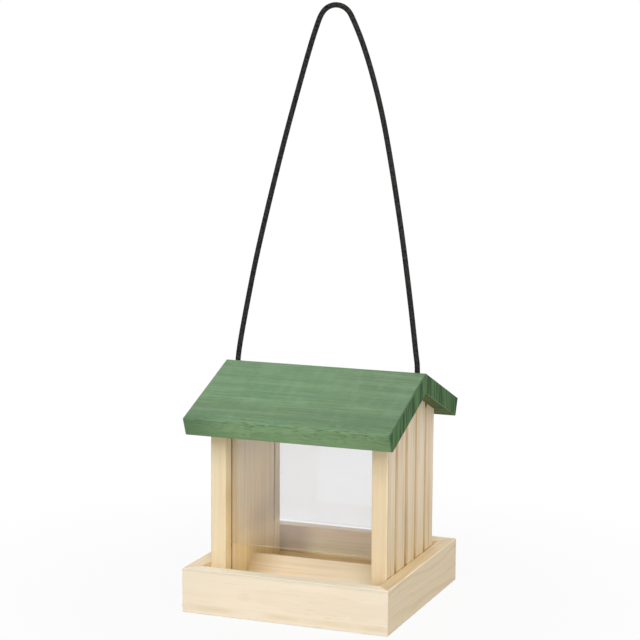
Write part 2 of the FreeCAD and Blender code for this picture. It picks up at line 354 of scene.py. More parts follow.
class Finish:
    """The nodes of one material, or of the room's light."""

    def __init__(self, holder):
        holder.use_nodes = True
        self.holder = holder
        self.tree = holder.node_tree
        self.tree.nodes.clear()

    def add(self, kind, settings=None, sockets=None, output=0):
        """A node of a type, with its settings set first, then the values or links of its sockets."""
        node = self.tree.nodes.new(kind)
        for name, value in (settings or {}).items():
            setattr(node, name, value)
        for key, value in (sockets or {}).items():
            if isinstance(value, Socket):
                self.tree.links.new(value.output, node.inputs[key])
            else:
                node.inputs[key].default_value = value
        return Socket(self, node.outputs[output]) if node.outputs else None

    def mix(self, factor, first, second, blend="MIX"):
        """Two colours mixed by a factor."""
        settings = {"data_type": "RGBA", "blend_type": blend}
        return self.add("ShaderNodeMix", settings, {0: factor, 6: first, 7: second}, 2)

    def shade(self, factor, colour, shares):
        """A colour of which, where the factor is 1, only these shares of red, green and blue are left."""
        return self.mix(factor, colour, (*shares, 1.0), "MULTIPLY")

    def vector(self, x, y, z):
        return self.add("ShaderNodeCombineXYZ", None, {0: x, 1: y, 2: z})

    def dot(self, vector, direction):
        sockets = {0: vector, 1: direction}
        return self.add("ShaderNodeVectorMath", {"operation": "DOT_PRODUCT"}, sockets, "Value")

    def place(self):
        """The place on the object, in metres."""
        return self.add("ShaderNodeTexCoord", output="Object")

    def normal(self):
        """The direction that the surface faces."""
        return self.add("ShaderNodeNewGeometry", output="Normal")

    def noise(self, vector, detail=2.0, roughness=0.5, scale=1.0):
        """Noise from 0 to 1."""
        sockets = {"Vector": vector, "Scale": scale, "Detail": detail, "Roughness": roughness}
        return self.add("ShaderNodeTexNoise", None, sockets)

    def bump(self, height, strength, distance):
        sockets = {"Strength": strength, "Distance": distance, "Height": height}
        return self.add("ShaderNodeBump", None, sockets)

    def seen(self):
        """1 where the camera sees this, straight, in a reflection or through a pane, and 0 for its light."""
        rays = self.add("ShaderNodeLightPath", output="Is Camera Ray")
        return rays.most(rays.pick("Is Glossy Ray")).most(rays.pick("Is Transmission Ray"))

    def blend(self, factor, first, second):
        """Two shaders mixed by a factor."""
        return self.add("ShaderNodeMixShader", None, {0: factor, 1: first, 2: second})

    def principled(self, sockets):
        return self.add("ShaderNodeBsdfPrincipled", None, sockets)

    def surface(self, shader, kind="ShaderNodeOutputMaterial"):
        self.add(kind, None, {"Surface": shader})
        return self.holder


def finish(name):
    return Finish(bpy.data.materials.new(name))


class Board:
    """Coordinates of a board in millimetres, along its grain, across it and through it, and its figure."""

    def __init__(self, recipe, axes, shift):
        self.recipe = recipe
        self.shift = shift
        millimetres = {0: recipe.place(), "Scale": MILLIMETRES}
        place = recipe.add("ShaderNodeVectorMath", {"operation": "SCALE"}, millimetres)
        self.along, self.across, self.through = (recipe.dot(place, axis) for axis in axes)
        normal = recipe.normal()
        self.faces = [recipe.dot(normal, axis) for axis in axes]

    def towards(self, direction, limits=FLAT):
        """1 on the faces that look in one of the board's directions."""
        return self.faces[direction].smooth(*limits)

    def away(self, direction, limits=FLAT):
        """1 on the faces that look against one of the board's directions."""
        return (0 - self.faces[direction]).smooth(*limits)

    def either(self, direction):
        """1 on the faces that look in one of the board's directions or against it."""
        return abs(self.faces[direction]).smooth(*FLAT)

    def eased(self):
        """1 on the rounded edges between the board's flat faces."""
        along, across, through = (abs(face) for face in self.faces)
        return (1 - along.most(across).most(through)).smooth(0.02, 0.16)

    def streaks(self, length, width, detail=2.0, shift=0.0, roughness=0.5):
        """Noise drawn out along the grain, from 0 to 1."""
        along = (self.along + self.shift) / length + shift
        vector = self.recipe.vector(along, self.across / width, self.through / width)
        return self.recipe.noise(vector, detail, roughness)

    def knot(self, along, across, through, size, rise):
        """Hill in the rings round a small knot, which draws them out into loops."""
        a = (self.along - along) / (size * KNOT_STRETCH)
        b = (self.across - across) / size
        c = (self.through - through) / size
        return (0 - (a * a + b * b + c * c)).exp() * rise

    def rings(self, pith, gap, wander, knots=()):
        """Late wood of the growth rings, from 0 to 1."""
        sway = (self.streaks(150.0, 70.0, detail=1.0) - 0.5) * wander
        ripple = (self.streaks(22.0, 9.0, shift=31.0) - 0.5) * 1.6
        u = self.across - pith[0] + sway
        v = self.through - pith[1] + sway * 0.6
        distance = (u * u + v * v) ** 0.5 + ripple
        for place in knots:
            distance = distance + self.knot(*place)
        ring = distance / gap
        part = ring.fract()
        late = part.smooth(0.30, 0.88) * part.fade(0.90, 1.0)
        number = {"W": ring.floor()}
        each = self.recipe.add("ShaderNodeTexWhiteNoise", {"noise_dimensions": "1D"}, number)
        return late * (0.30 + 0.70 * each)


def wall_inside(recipe, board, colour, inside, front_lip):
    """A wall's inner face: grained, with painted light above, and painted shade in its middle near the front,
    at its foot and in its back corner.
    """
    lit = board.along.smooth(84.0, 112.0)
    # Painted shade on the inner face's middle, near the front
    shaded_middle = board.along.smooth(46.0, 58.0) * board.along.fade(74.0, 100.0)
    shaded_middle = shaded_middle * board.through.smooth(-44.0, -25.0)
    # Painted shade in the inner face's lower back corner
    corner = board.along.fade(58.0, 82.0) * board.through.smooth(-18.0, 10.0)
    corner = corner * (0.6 + 0.4 * board.along.smooth(40.0, 52.0))
    # Painted shade at the inner face's foot, weaker in front of the front slot
    shaded_foot = board.along.fade(20.0, 60.0) * (1 - front_lip * 0.35)
    grain = board.streaks(160.0, 3.0, shift=71.0).smooth(0.48, 0.66)
    colour = recipe.mix(inside * lit * 0.8, colour, LIT_INSIDE)
    colour = recipe.shade(inside * shaded_middle, colour, MIDDLE_SHADE)
    colour = recipe.shade(inside * corner, colour, CORNER_SHADE)
    colour = recipe.shade(inside * shaded_foot * 0.38, colour, WALL_FOOT_SHADE)
    return recipe.shade(inside * grain, colour, GRAIN_SHADE)


def wall_outside(recipe, board, colour):
    """A wall's outer face: browner low down, and its grooves browned where cut and darkened with painted
    shade, more at the foot and most of all under the roof.
    """
    sideways = abs(board.through)
    rail_top = RAIL_HEIGHT * MILLIMETRES
    outer = (board.faces[ACROSS] * board.across).smooth(*OUTWARD)
    slanting = (abs(board.faces[ACROSS]) * abs(board.faces[THROUGH])).smooth(0.22, 0.42)
    groove = slanting * sideways.fade(50.0, 52.0)
    depth = ((WALL_OUTER * MILLIMETRES - abs(board.across)) / 2.5).smooth(0.0, 0.6)
    foot = board.along.fade(rail_top, rail_top + 14.0)
    roof_line = board.along + sideways * math.tan(ROOF_PITCH)
    shaded_under_roof = roof_line.smooth(166.0, 170.0) * sideways.smooth(20.0, 26.0)
    low = board.along.fade(36.0, 120.0)
    colour = recipe.shade(outer * low, colour, LOW_SHADE)
    # Grooves: browner where cut, with painted shade, more at the foot and darkest under the roof
    colour = recipe.shade(groove * (0.7 + 0.3 * depth), colour, GROOVE_SHADE)
    colour = recipe.shade(groove * (0.55 * foot), colour, GROOVE_FOOT_SHADE)
    return recipe.shade(groove * shaded_under_roof, colour, UNDER_ROOF_SHADE)


def wall_slots(recipe, board, colour):
    """The insides of the two slots that hold the panes: browned where sawn, and darkened with painted shade,
    more in the front slot than in the back.
    """
    depth = abs(board.across)
    width = abs(abs(board.through) - SLOT_Y * MILLIMETRES).fade(1.55, 1.8)
    slot = width * depth.smooth(60.9, 61.1) * depth.fade(65.0, 65.4)
    # Saw browning and painted shade, darker in the front slot
    browned_and_shaded = recipe.mix(board.through.smooth(-5.0, 5.0), FRONT_SLOT, BACK_SLOT)
    return recipe.mix(slot, colour, browned_and_shaded)


def wall_joint(recipe, board, colour):
    """The dark, broken line where the wall's outer face meets the rail's top."""
    rail_top = RAIL_HEIGHT * MILLIMETRES
    joint = board.along.fade(rail_top - 0.2, rail_top + 0.9) * abs(board.faces[ACROSS])
    broken = board.streaks(4.0, 3.0, detail=1.0, shift=61.0).smooth(0.30, 0.55)
    joint = joint * abs(board.across).smooth(73.0, 73.3) * broken
    return recipe.shade(joint * 0.8, colour, JOINT_SHADE)


def wall_marks(recipe, board, colour, post):
    """A gable wall's colours, painted light and shade among them: post is the colour of its narrow front and
    back edges.
    """
    edges = board.either(THROUGH)
    inside = (0 - board.faces[ACROSS] * board.across).smooth(*OUTWARD)
    front_lip = inside * (0 - board.through).smooth(45.0, 46.0)
    # Painted shade high on the inner face, in front of the front slot
    shaded_lip_top = front_lip * board.along.smooth(60.0, 95.0)
    # Painted light on the upper posts, under the eave
    lit_post_top = edges * board.along.smooth(118.0, 138.0)
    colour = recipe.mix(edges * 0.65, colour, post)
    colour = recipe.mix(inside * 0.55, colour, WARM_INSIDE)
    colour = recipe.shade(shaded_lip_top, colour, LIP_SHADE)
    colour = recipe.mix(lit_post_top, colour, LIT_POST)
    colour = wall_inside(recipe, board, colour, inside, front_lip)
    colour = wall_outside(recipe, board, colour)
    colour = wall_slots(recipe, board, colour)
    return wall_joint(recipe, board, colour)


def left_wall_marks(recipe, board, colour):
    return wall_marks(recipe, board, colour, LEFT_POST)


def right_wall_marks(recipe, board, colour):
    return wall_marks(recipe, board, colour, RIGHT_POST)


def front_rail_marks(recipe, board, colour):
    """The front rail's top, paler as painted light, the duller band under it, its right end and a warm streak
    along its foot.
    """
    front = board.away(ACROSS)
    patches = board.streaks(45.0, 60.0, detail=1.0, shift=3.0).smooth(0.40, 0.60)
    streak = abs(board.through - 5.0).fade(0.5, 3.5) * patches
    band = board.through.smooth(32.0, 35.0)
    right = board.along.smooth(0.0, 80.0)
    colour = recipe.shade(front * band, colour, RAIL_BAND_SHADE)
    colour = recipe.shade(front * streak, colour, RAIL_STREAK_SHADE)
    colour = recipe.shade(front * right, colour, RAIL_RIGHT_SHADE)
    # Painted light: the top face paler
    return recipe.mix(board.towards(THROUGH), colour, FRONT_RAIL_LIT_TOP)


def side_rail_marks(recipe, board, colour):
    """A rail's top edge, darker and browner than its sides as painted shade."""
    # Painted shade on the top face
    return recipe.shade(board.towards(THROUGH), colour, RAIL_TOP_SHADE)


def back_rail_marks(recipe, board, colour):
    """The back rail's top edge in painted shade, and painted shade on its inner face, at the foot and at the
    left.
    """
    inner = board.away(ACROSS)
    foot = board.through.fade(18.0, 38.0)
    left = board.along.fade(-52.0, -30.0)
    colour = side_rail_marks(recipe, board, colour)
    # Painted shade on the inner face: at the foot, behind the deflector, and at the left, by the left wall
    colour = recipe.shade(inner * foot, colour, BACK_FOOT_SHADE)
    return recipe.shade(inner * left, colour, BACK_LEFT_SHADE)


def deflector_marks(recipe, board, colour):
    """The deflector's right half, paler as painted light, and painted shade in the corners at its ends."""
    right = board.along.smooth(0.0, 40.0)
    shaded_ends = board.along.fade(-66.0, -26.0).most(board.along.smooth(42.0, 66.0))
    # Painted light on the right half, painted shade at both ends
    colour = recipe.mix(right * 0.8, colour, DEFLECTOR_LIT_RIGHT)
    return recipe.shade(shaded_ends, colour, DEFLECTOR_SHADE)


def floor_marks(recipe, board, colour):
    """Painted shade on the tray's floor: its top darker and browner."""
    # Painted shade: the floor's top darker and browner
    return recipe.shade(board.towards(THROUGH), colour, FLOOR_SHADE)


def pine(name, axes, tones, shift, pith, gap, contrast=0.3, wander=7.0, threads=0.2, width=1.7, flecked=0.3,
         worn_and_lit=0.35, sheen=0.0, marks=None):
    """Planed, unfinished pine.

    shift slides the figure along the grain, pith is the rings' middle across and through the board, gap is
    the rings' width, and wander is how far they sway. contrast, threads and flecked say how strongly rings,
    fine lines of a width and flecks show, worn_and_lit how pale the rounded edges are, partly from wear and
    partly as a painted highlight, and sheen how much glossier the top is. marks adds what only this board
    has, painted light and shade among it.
    """
    recipe = finish(name)
    board = Board(recipe, axes, shift)
    pale, deep = tones
    late = board.rings(pith, gap, wander)
    fibres = board.streaks(26.0, 0.55, detail=3.0, shift=7.0, roughness=0.6)
    lines = board.streaks(110.0, width, shift=17.0)
    clouds = board.streaks(60.0, 14.0, shift=13.0)
    groups = board.streaks(45.0, 18.0, detail=1.0, shift=21.0).smooth(0.45, 0.70)
    flecks = board.streaks(16.0, 1.2, detail=1.0, shift=43.0).smooth(0.60, 0.78) * groups
    colour = recipe.mix(late * contrast, pale, deep)
    colour = recipe.mix(lines.smooth(0.52, 0.72) * threads, colour, deep)
    colour = recipe.mix(lines.smooth(0.48, 0.28) * threads, colour, PALE_THREAD)
    colour = recipe.mix(fibres.smooth(0.35, 0.85) * 0.10, colour, deep)
    colour = recipe.mix(clouds.smooth(0.50, 0.80) * 0.22, colour, WARM_CLOUD)
    colour = recipe.mix(clouds.smooth(0.50, 0.22) * 0.18, colour, DULL_CLOUD)
    colour = recipe.mix(flecks * flecked, colour, FLECK)
    # Paler rounded edges: partly wear, partly a painted highlight
    if worn_and_lit:
        colour = recipe.mix(board.eased() * worn_and_lit, colour, WORN_AND_LIT_EDGE)
    colour = recipe.mix(board.either(ALONG) * 0.5, colour, SAWN_END)
    if marks:
        colour = marks(recipe, board, colour)
    upward = recipe.dot(recipe.normal(), (0, 0, 1)).smooth(0.90, 0.98)
    roughness = 0.38 + fibres * 0.16 + late * 0.06 - upward * sheen
    normal = recipe.bump(late * 0.5 + fibres * 0.6 - flecks * 0.7, 0.35, 0.00010)
    return recipe.surface(recipe.principled({
        "Base Color": colour, "Roughness": roughness, "Normal": normal, "Specular IOR Level": 0.5}))


class RoofBoard(Board):
    """A roof board under a thin green stain: side is -1 for the front slope and 1 for the back."""

    def __init__(self, recipe, side, shift, pith, knots):
        down = (0, side * math.cos(ROOF_PITCH), -math.sin(ROOF_PITCH))
        out = (0, side * math.sin(ROOF_PITCH), math.cos(ROOF_PITCH))
        super().__init__(recipe, ((1, 0, 0), down, out), shift)
        self.late = self.rings(pith, 3.4, 10.0, knots)
        self.fibres = self.streaks(30.0, 0.6, detail=3.0, shift=3.0, roughness=0.6)
        self.lines = self.streaks(50.0, 1.8, shift=23.0, roughness=0.6)
        self.dashes = self.streaks(6.0, 0.8, detail=1.0, shift=43.0)
        length, width = BRUSH_MARK
        place = recipe.vector(self.along / length + shift, self.across / width, self.through / width)
        self.brushed = recipe.noise(place)
        self.rim = self.across.smooth(6.0, 19.0) * self.through.smooth(161.0, 171.0)
        self.eave = self.towards(ACROSS)
        self.under = self.away(THROUGH, UNDERSIDE)
        self.ends = self.either(ALONG)

    def figure(self):
        """The wood's rings, bands and lines under the stain, and the brush's marks in it."""
        mix = self.recipe.mix
        bands = self.streaks(170.0, 9.0, shift=17.0)
        groups = self.streaks(70.0, 12.0, detail=1.0, shift=5.0).smooth(0.42, 0.60)
        bright = self.streaks(75.0, 0.9, detail=1.0, shift=29.0).smooth(0.60, 0.70) * groups
        colour = mix(self.late * 0.24, STAIN, STAIN_LATE)
        colour = mix(bands.smooth(0.48, 0.68) * 0.60, colour, STAIN_DARK)
        colour = mix(bands.smooth(0.48, 0.30) * 0.60, colour, STAIN_PALE)
        colour = mix(self.lines.smooth(0.50, 0.72) * 0.38, colour, STAIN_DARK_LINE)
        colour = mix(self.lines.smooth(0.48, 0.30) * 0.30, colour, STAIN_PALE_LINE)
        colour = mix(self.fibres.smooth(0.40, 0.80) * 0.18, colour, STAIN_DARK_LINE)
        colour = mix(self.brushed.smooth(0.48, 0.68) * 0.26, colour, STAIN_BRUSHED)
        colour = mix(self.brushed.smooth(0.48, 0.30) * 0.22, colour, STAIN_DARK)
        return mix(bright * 0.55, colour, STAIN_BRIGHT)

    def eave_marks(self, colour):
        """The yellower eave, the dashes along its rim, its dark left corner, darker towards the right, and a
        band of painted shade above the eave.
        """
        mix = self.recipe.mix
        shade = self.recipe.shade
        colour = mix(self.eave * 0.55, colour, EAVE)
        colour = mix(self.eave * self.late * 0.45, colour, EAVE_LATE)
        colour = mix(self.dashes.smooth(0.55, 0.68) * (0.18 + 0.50 * self.rim), colour, DARK_DASH)
        colour = mix(self.dashes.smooth(0.43, 0.31) * (0.12 + 0.24 * self.rim), colour, PALE_DASH)
        corner = self.rim.most(self.eave) * self.along.fade(-84.0, -40.0)
        right = self.along.smooth(-30.0, 80.0)
        eave_right = self.eave * self.along.smooth(45.0, 85.0)
        shaded_band = self.towards(THROUGH) * self.across.smooth(-12.0, 0.0) * self.across.fade(7.0, 15.0)
        colour = mix(corner * 0.75, colour, EAVE_CORNER)
        colour = shade(right * (1 - self.eave * 0.9), colour, ROOF_RIGHT_SHADE)
        colour = shade(eave_right, colour, EAVE_RIGHT_SHADE)
        # Painted shade in a band on the top face, just above the eave
        return shade(shaded_band * (0.85 - 0.35 * right), colour, EAVE_BAND_SHADE)

    def end_marks(self, colour):
        """The underside, darkened to olive as painted shade, the drips at the right end and the bars of the
        end grain.
        """
        mix = self.recipe.mix
        drips = (self.along + self.brushed * 2.4).smooth(84.4, 85.6)
        level = self.recipe.dot(self.recipe.place(), (0, BARS_PER_METRE, 0))
        bars = self.recipe.noise(self.recipe.vector(level, self.through / 70, self.shift), 3.0, 0.6)
        # Painted shade: the underside dark olive
        colour = mix(self.under * 0.8, colour, mix(self.lines.smooth(0.35, 0.65), UNDER_PALE, UNDER_DARK))
        colour = mix(drips * 0.8, colour, DRIP)
        return mix(self.ends, colour, mix(bars.smooth(0.36, 0.62), END_DARK, END_PALE))

    def edge_marks(self, colour):
        """The rounded edges: dashed, in painted shade at the right, with a painted highlight below it, and
        pale at the left from worn stain and a painted highlight.
        """
        mix = self.recipe.mix
        edge = self.eased()
        right = self.towards(ALONG, TURNED)
        left = self.away(ALONG, TURNED)
        lower = self.away(THROUGH, TURNED)
        colour = mix(edge * (0.12 + 0.4 * self.dashes.smooth(0.40, 0.60)), colour, EDGE_DASH)
        # Painted shade on the right edges, a painted highlight on the lower right ones
        colour = mix(edge * right * 0.6, colour, EDGE_RIGHT)
        colour = mix(edge * right * lower * 0.8, colour, EDGE_LOWER_RIGHT)
        # Pale left edges: worn stain and a painted highlight
        return mix(edge * left * self.brushed.smooth(0.25, 0.55), colour, EDGE_LEFT)


def green_stain(name, side, shift, pith, knots):
    """Pine under a thin green stain, with its grain showing through."""
    recipe = finish(name)
    board = RoofBoard(recipe, side, shift, pith, knots)
    colour = board.edge_marks(board.end_marks(board.eave_marks(board.figure())))
    roughness = 0.50 + board.fibres * 0.16 + board.ends * 0.40 + board.under * 0.35
    height = board.late * 0.3 + board.lines * 0.5 + board.fibres * 0.6 - board.dashes * board.rim
    normal = recipe.bump(height, 0.40, 0.00012)
    return recipe.surface(recipe.principled({
        "Base Color": colour, "Roughness": roughness, "Normal": normal, "Specular IOR Level": 0.35}))


def clear_acrylic(name):
    """Clear sheet with faint handling marks, some mirroring of the room, and a painted highlight along its
    lower edge.
    """
    recipe = finish(name)
    place = recipe.place()
    x = recipe.dot(place, (1, 0, 0))
    z = recipe.dot(place, (0, 0, 1))
    drawn_out = {0: place, 1: (900.0, 1.0, 40.0)}
    smears = recipe.noise(place, 3.0, 0.55, 28.0)
    scratches = recipe.noise(recipe.add("ShaderNodeVectorMath", {"operation": "MULTIPLY"}, drawn_out))
    rims = abs(recipe.dot(recipe.normal(), (0, 1, 0))).smooth(0.9, 0.6)
    lowest = z.fade(PANE_BOTTOM + 0.0005, PANE_BOTTOM + 0.0009)
    between_walls = abs(x).fade(WALL_INNER, WALL_INNER + 0.0003)
    # Painted highlight: a pale strip low on the face, for the light of the cut lower edge
    lit_lower_edge = lowest * between_walls * x.smooth(-0.050, -0.030)
    veil = PANE_VEIL + smears.smooth(0.40, 0.75) * SMEAR_VEIL + scratches.smooth(0.66, 0.78) * SCRATCH_VEIL
    above = z.smooth(PANE_BOTTOM, PANE_BOTTOM + VEIL_RISE)
    veil = veil * (0.5 + 0.5 * above) + lit_lower_edge * EDGE_LIGHT_VEIL
    passing = recipe.add("ShaderNodeBsdfTransparent", None, {"Color": recipe.mix(rims, PANE_TINT, WHITE)})
    mirror = recipe.mix(lit_lower_edge, PANE_MIRROR, PANE_EDGE_LIGHT)
    sheet = recipe.principled({
        "Base Color": mirror, "Metallic": 0.8 - lit_lower_edge * 0.8, "Roughness": 0.05 + smears * 0.03})
    return recipe.surface(recipe.blend(veil * (1 - rims), passing, sheet))


def zinc_steel(name, bright, dull):
    """Zinc-plated steel, slightly mottled."""
    recipe = finish(name)
    place = recipe.place()
    spangle = recipe.add("ShaderNodeTexVoronoi", None, {"Vector": place, "Scale": 900.0})
    tarnish = recipe.noise(place, scale=400.0).smooth(0.45, 0.75)
    grey = recipe.mix(spangle, dull, bright)
    grey = recipe.mix(tarnish * 0.4, grey, TARNISH)
    roughness = 0.28 + spangle * 0.15 + tarnish * 0.15
    return recipe.surface(recipe.principled({"Base Color": grey, "Metallic": 1.0, "Roughness": roughness}))


def black_braid(name):
    """Black braided cord, its filaments a little dusty."""
    recipe = finish(name)
    place = recipe.place()
    fuzz = recipe.noise(place, scale=620.0)
    dust = recipe.noise(place, scale=160.0).smooth(0.45, 0.75)
    colour = recipe.mix(fuzz.smooth(0.35, 0.65), CORD_DARK, CORD_PALE)
    colour = recipe.mix(dust * 0.2, colour, CORD_DUST)
    normal = recipe.bump(fuzz, 0.5, 0.0001)
    return recipe.surface(recipe.principled({
        "Base Color": colour, "Roughness": 0.60 + fuzz * 0.2, "Normal": normal, "Specular IOR Level": 0.12}))


def white_floor(name):
    """White to the camera, a little less so near the object, where its shadow falls."""
    recipe = finish(name)
    far = recipe.add("ShaderNodeVectorMath", {"operation": "LENGTH"}, {0: recipe.place()}, "Value")
    plain = recipe.add("ShaderNodeBsdfDiffuse", None, {"Color": FLOOR_GREY})
    glow = recipe.add("ShaderNodeEmission", None, {"Color": WHITE, "Strength": 1.0})
    cover = recipe.seen() * (1 - FLOOR_SHADOW + FLOOR_SHADOW * far.smooth(*SHADOW_REACH))
    return recipe.surface(recipe.blend(cover, plain, glow))


def pale_room(name):
    """A room of an even, low light, white to the camera."""
    recipe = Finish(bpy.data.worlds.new(name))
    light = recipe.add("ShaderNodeBackground", None, {"Color": WHITE, "Strength": ROOM_LEVEL})
    white = recipe.add("ShaderNodeBackground", None, {"Color": WHITE, "Strength": 1.0})
    return recipe.surface(recipe.blend(recipe.seen(), light, white), "ShaderNodeOutputWorld")


def dress(material, *nodes):
    """Gives CAD nodes their finish."""
    for name in nodes:
        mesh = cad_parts[name].data
        mesh.materials.clear()
        mesh.materials.append(material)


def mesh_piece(name, points, faces, material, body=None):
    """A new piece of the object, riding on a body."""
    mesh = bpy.data.meshes.new(name)
    mesh.from_pydata(points, [], faces)
    mesh.materials.append(material)
    piece = bpy.data.objects.new(name, mesh)
    scene.collection.objects.link(piece)
    if body:
        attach(piece, body)
    return piece


def spline_line(points, steps, gap):
    """Points at least a gap apart along a NURBS spline that has the given control points."""
    curve = bpy.data.curves.new("line", "CURVE")
    curve.dimensions = "3D"
    curve.resolution_u = steps
    spline = curve.splines.new("NURBS")
    spline.points.add(len(points) - 1)
    for place, point in zip(spline.points, points):
        place.co = (*point, 1.0)
    spline.order_u = 3
    spline.use_endpoint_u = True
    holder = bpy.data.objects.new("line", curve)
    mesh = bpy.data.meshes.new_from_object(holder)
    line = [vertex.co.copy() for vertex in mesh.vertices]
    bpy.data.objects.remove(holder)
    bpy.data.curves.remove(curve)
    bpy.data.meshes.remove(mesh)
    kept = line[:1]
    for point in line[1:-1]:
        if (point - kept[-1]).length >= gap and (point - line[-1]).length >= gap / 2:
            kept.append(point)
    return kept + line[-1:]


def braid_height(turn, travel):
    """Height of a braid's strands at a place round and along the cord, from 0 to 1."""
    left = BRAID_CARRIERS * turn + travel / BRAID_LAY
    right = BRAID_CARRIERS * turn - travel / BRAID_LAY
    left_over = (math.floor(left) + math.floor(right)) % 2 == 0
    share = (left if left_over else right) % 1.0
    other = (right if left_over else left) % 1.0
    crown = 1 - (2 * share - 1) ** 2
    arch = 1 - BRAID_ARCH * (2 * other - 1) ** 2
    return math.sqrt(max(crown, 0.0)) * arch


def braided_tube(line, diameter):
    """Points and faces of a braided cord along a line."""
    points = []
    faces = []
    travel = 0.0
    side = Vector((0, 1, 0))
    for i, centre in enumerate(line):
        before = line[max(i - 1, 0)]
        after = line[min(i + 1, len(line) - 1)]
        travel += (centre - before).length
        heading = (after - before).normalized()
        side = (side - heading * side.dot(heading)).normalized()
        out = side.cross(heading)
        for j in range(BRAID_SIDES):
            turn = j / BRAID_SIDES
            angle = 2 * math.pi * turn
            reach = diameter * (BRAID_CORE + BRAID_PROUD * braid_height(turn, travel))
            points.append(centre + (side * math.cos(angle) + out * math.sin(angle)) * reach)
    last = (len(line) - 1) * BRAID_SIDES
    for ring in range(0, last, BRAID_SIDES):
        above = ring + BRAID_SIDES
        for j in range(BRAID_SIDES):
            k = (j + 1) % BRAID_SIDES
            faces.append((ring + j, ring + k, above + k, above + j))
    faces.append(tuple(range(BRAID_SIDES))[::-1])
    faces.append(tuple(last + j for j in range(BRAID_SIDES)))
    return points, faces


def cord_piece(name, route, steps, diameter, material, body=None):
    """A length of braided cord along a route's spline, and the line that it follows."""
    line = spline_line(route, steps, diameter / BRAID_RINGS)
    points, faces = braided_tube(line, diameter)
    piece = mesh_piece(name, points, faces, material, body)
    piece.data.shade_smooth()
    return piece, line


def hang_cord(material):
    """The cord: its loop, its two ends through the roof and the walls, and its stopper knots."""
    loop_route = [(x, CORD_Y, RIDGE_TOP + rise) for x, rise in CORD_ROUTE]
    loop, loop_line = cord_piece("cord_loop", loop_route, LOOP_STEPS, CORD_DIAMETER, material, "roof")
    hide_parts("hanging_cord")
    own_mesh(loop)
    cord_pieces = []
    for side, name in ((-1, "left"), (1, "right")):
        drop = [(side * x, CORD_Y, z) for x, z in END_ROUTE]
        end, _ = cord_piece("cord_end_through_" + name, drop, END_STEPS, CORD_DIAMETER, material)
        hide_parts("cord_end_" + name)
        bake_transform(end)
        turns = [(side * (WALL_INNER - inward), CORD_Y + behind, WALL_HOLE_Z + rise)
                 for inward, behind, rise in KNOT_ROUTE]
        knot, _ = cord_piece("stopper_knot_" + name, turns, END_STEPS, KNOT_DIAMETER, material, "house")
        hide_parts("cord_knot_" + name)
        cord_pieces += [end, knot]


def lathe(profile, sides):
    """Points and faces of a solid turned about Z from a (radius, height) profile between two axis points."""
    rings = profile[1:-1]
    points = [(0, 0, profile[0][1])]
    for radius, height in rings:
        for j in range(sides):
            angle = 2 * math.pi * j / sides
            points.append((radius * math.cos(angle), radius * math.sin(angle), height))
    points.append((0, 0, profile[-1][1]))
    top = len(points) - 1
    last = 1 + (len(rings) - 1) * sides
    faces = []
    for j in range(sides):
        k = (j + 1) % sides
        faces.append((0, 1 + k, 1 + j))
        for low in range(1, last, sides):
            faces.append((low + j, low + k, low + sides + k, low + sides + j))
        faces.append((last + j, last + k, top))
    return points, faces


def plus_bar(arm, half, foot, top, taper):
    """Points and faces of a plus-shaped peg that tapers upwards."""
    quarter = [(arm, -half), (arm, half), (half, half)]
    outline = []
    for _ in range(4):
        outline += quarter
        quarter = [(-y, x) for x, y in quarter]
    count = len(outline)
    points = [(x, y, foot) for x, y in outline] + [(x * taper, y * taper, top) for x, y in outline]
    faces = [(i, (i + 1) % count, count + (i + 1) % count, count + i) for i in range(count)]
    faces.append(tuple(range(count))[::-1])
    faces.append(tuple(range(count, 2 * count)))
    return points, faces


def screw_shape(top):
    """Mesh of a countersunk wood screw, head down, with a cross recess."""
    shoulder = SCREW_FOOT + SCREW_HEAD - SCREW_SHANK
    profile = [
        (0, SCREW_FOOT), (SCREW_HEAD - SCREW_EASE, SCREW_FOOT), (SCREW_HEAD, SCREW_FOOT + SCREW_EASE),
        (SCREW_SHANK, shoulder), (SCREW_SHANK, top - SCREW_POINT), (SCREW_TIP, top - SCREW_EASE), (0, top),
    ]
    cutter = plus_bar(
        RECESS_ARM, RECESS_HALF_WIDTH, SCREW_FOOT - RECESS_START, SCREW_FOOT + RECESS_DEPTH, RECESS_TAPER)
    made = []
    for points, faces in (lathe(profile, SCREW_SIDES), cutter):
        mesh = bpy.data.meshes.new("screw")
        mesh.from_pydata(points, [], faces)
        made.append(bpy.data.objects.new("screw", mesh))
        scene.collection.objects.link(made[-1])
    body, recess = made
    cut = body.modifiers.new("recess", "BOOLEAN")
    cut.operation = "DIFFERENCE"
    cut.solver = "EXACT"
    cut.object = recess
    mesh = bpy.data.meshes.new_from_object(body.evaluated_get(bpy.context.evaluated_depsgraph_get()))
    for thing in made:
        bpy.data.objects.remove(thing)
    return mesh


def screw_piece(name, node, places, top, material):
    """The screws of one CAD node as one piece, each turned its own way."""
    shape = screw_shape(top)
    points = []
    faces = []
    for i, (x, y) in enumerate(places):
        angle = FIRST_TURN + NEXT_TURN * i + TURN_WITH_X * x
        turn = Matrix.Translation((x, y, 0)) @ Matrix.Rotation(angle, 4, "Z")
        first = len(points)
        points += [turn @ vertex.co for vertex in shape.vertices]
        faces += [tuple(first + k for k in polygon.vertices) for polygon in shape.polygons]
    bpy.data.meshes.remove(shape)
    piece = mesh_piece(name, points, faces, material, "house")
    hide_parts(node)


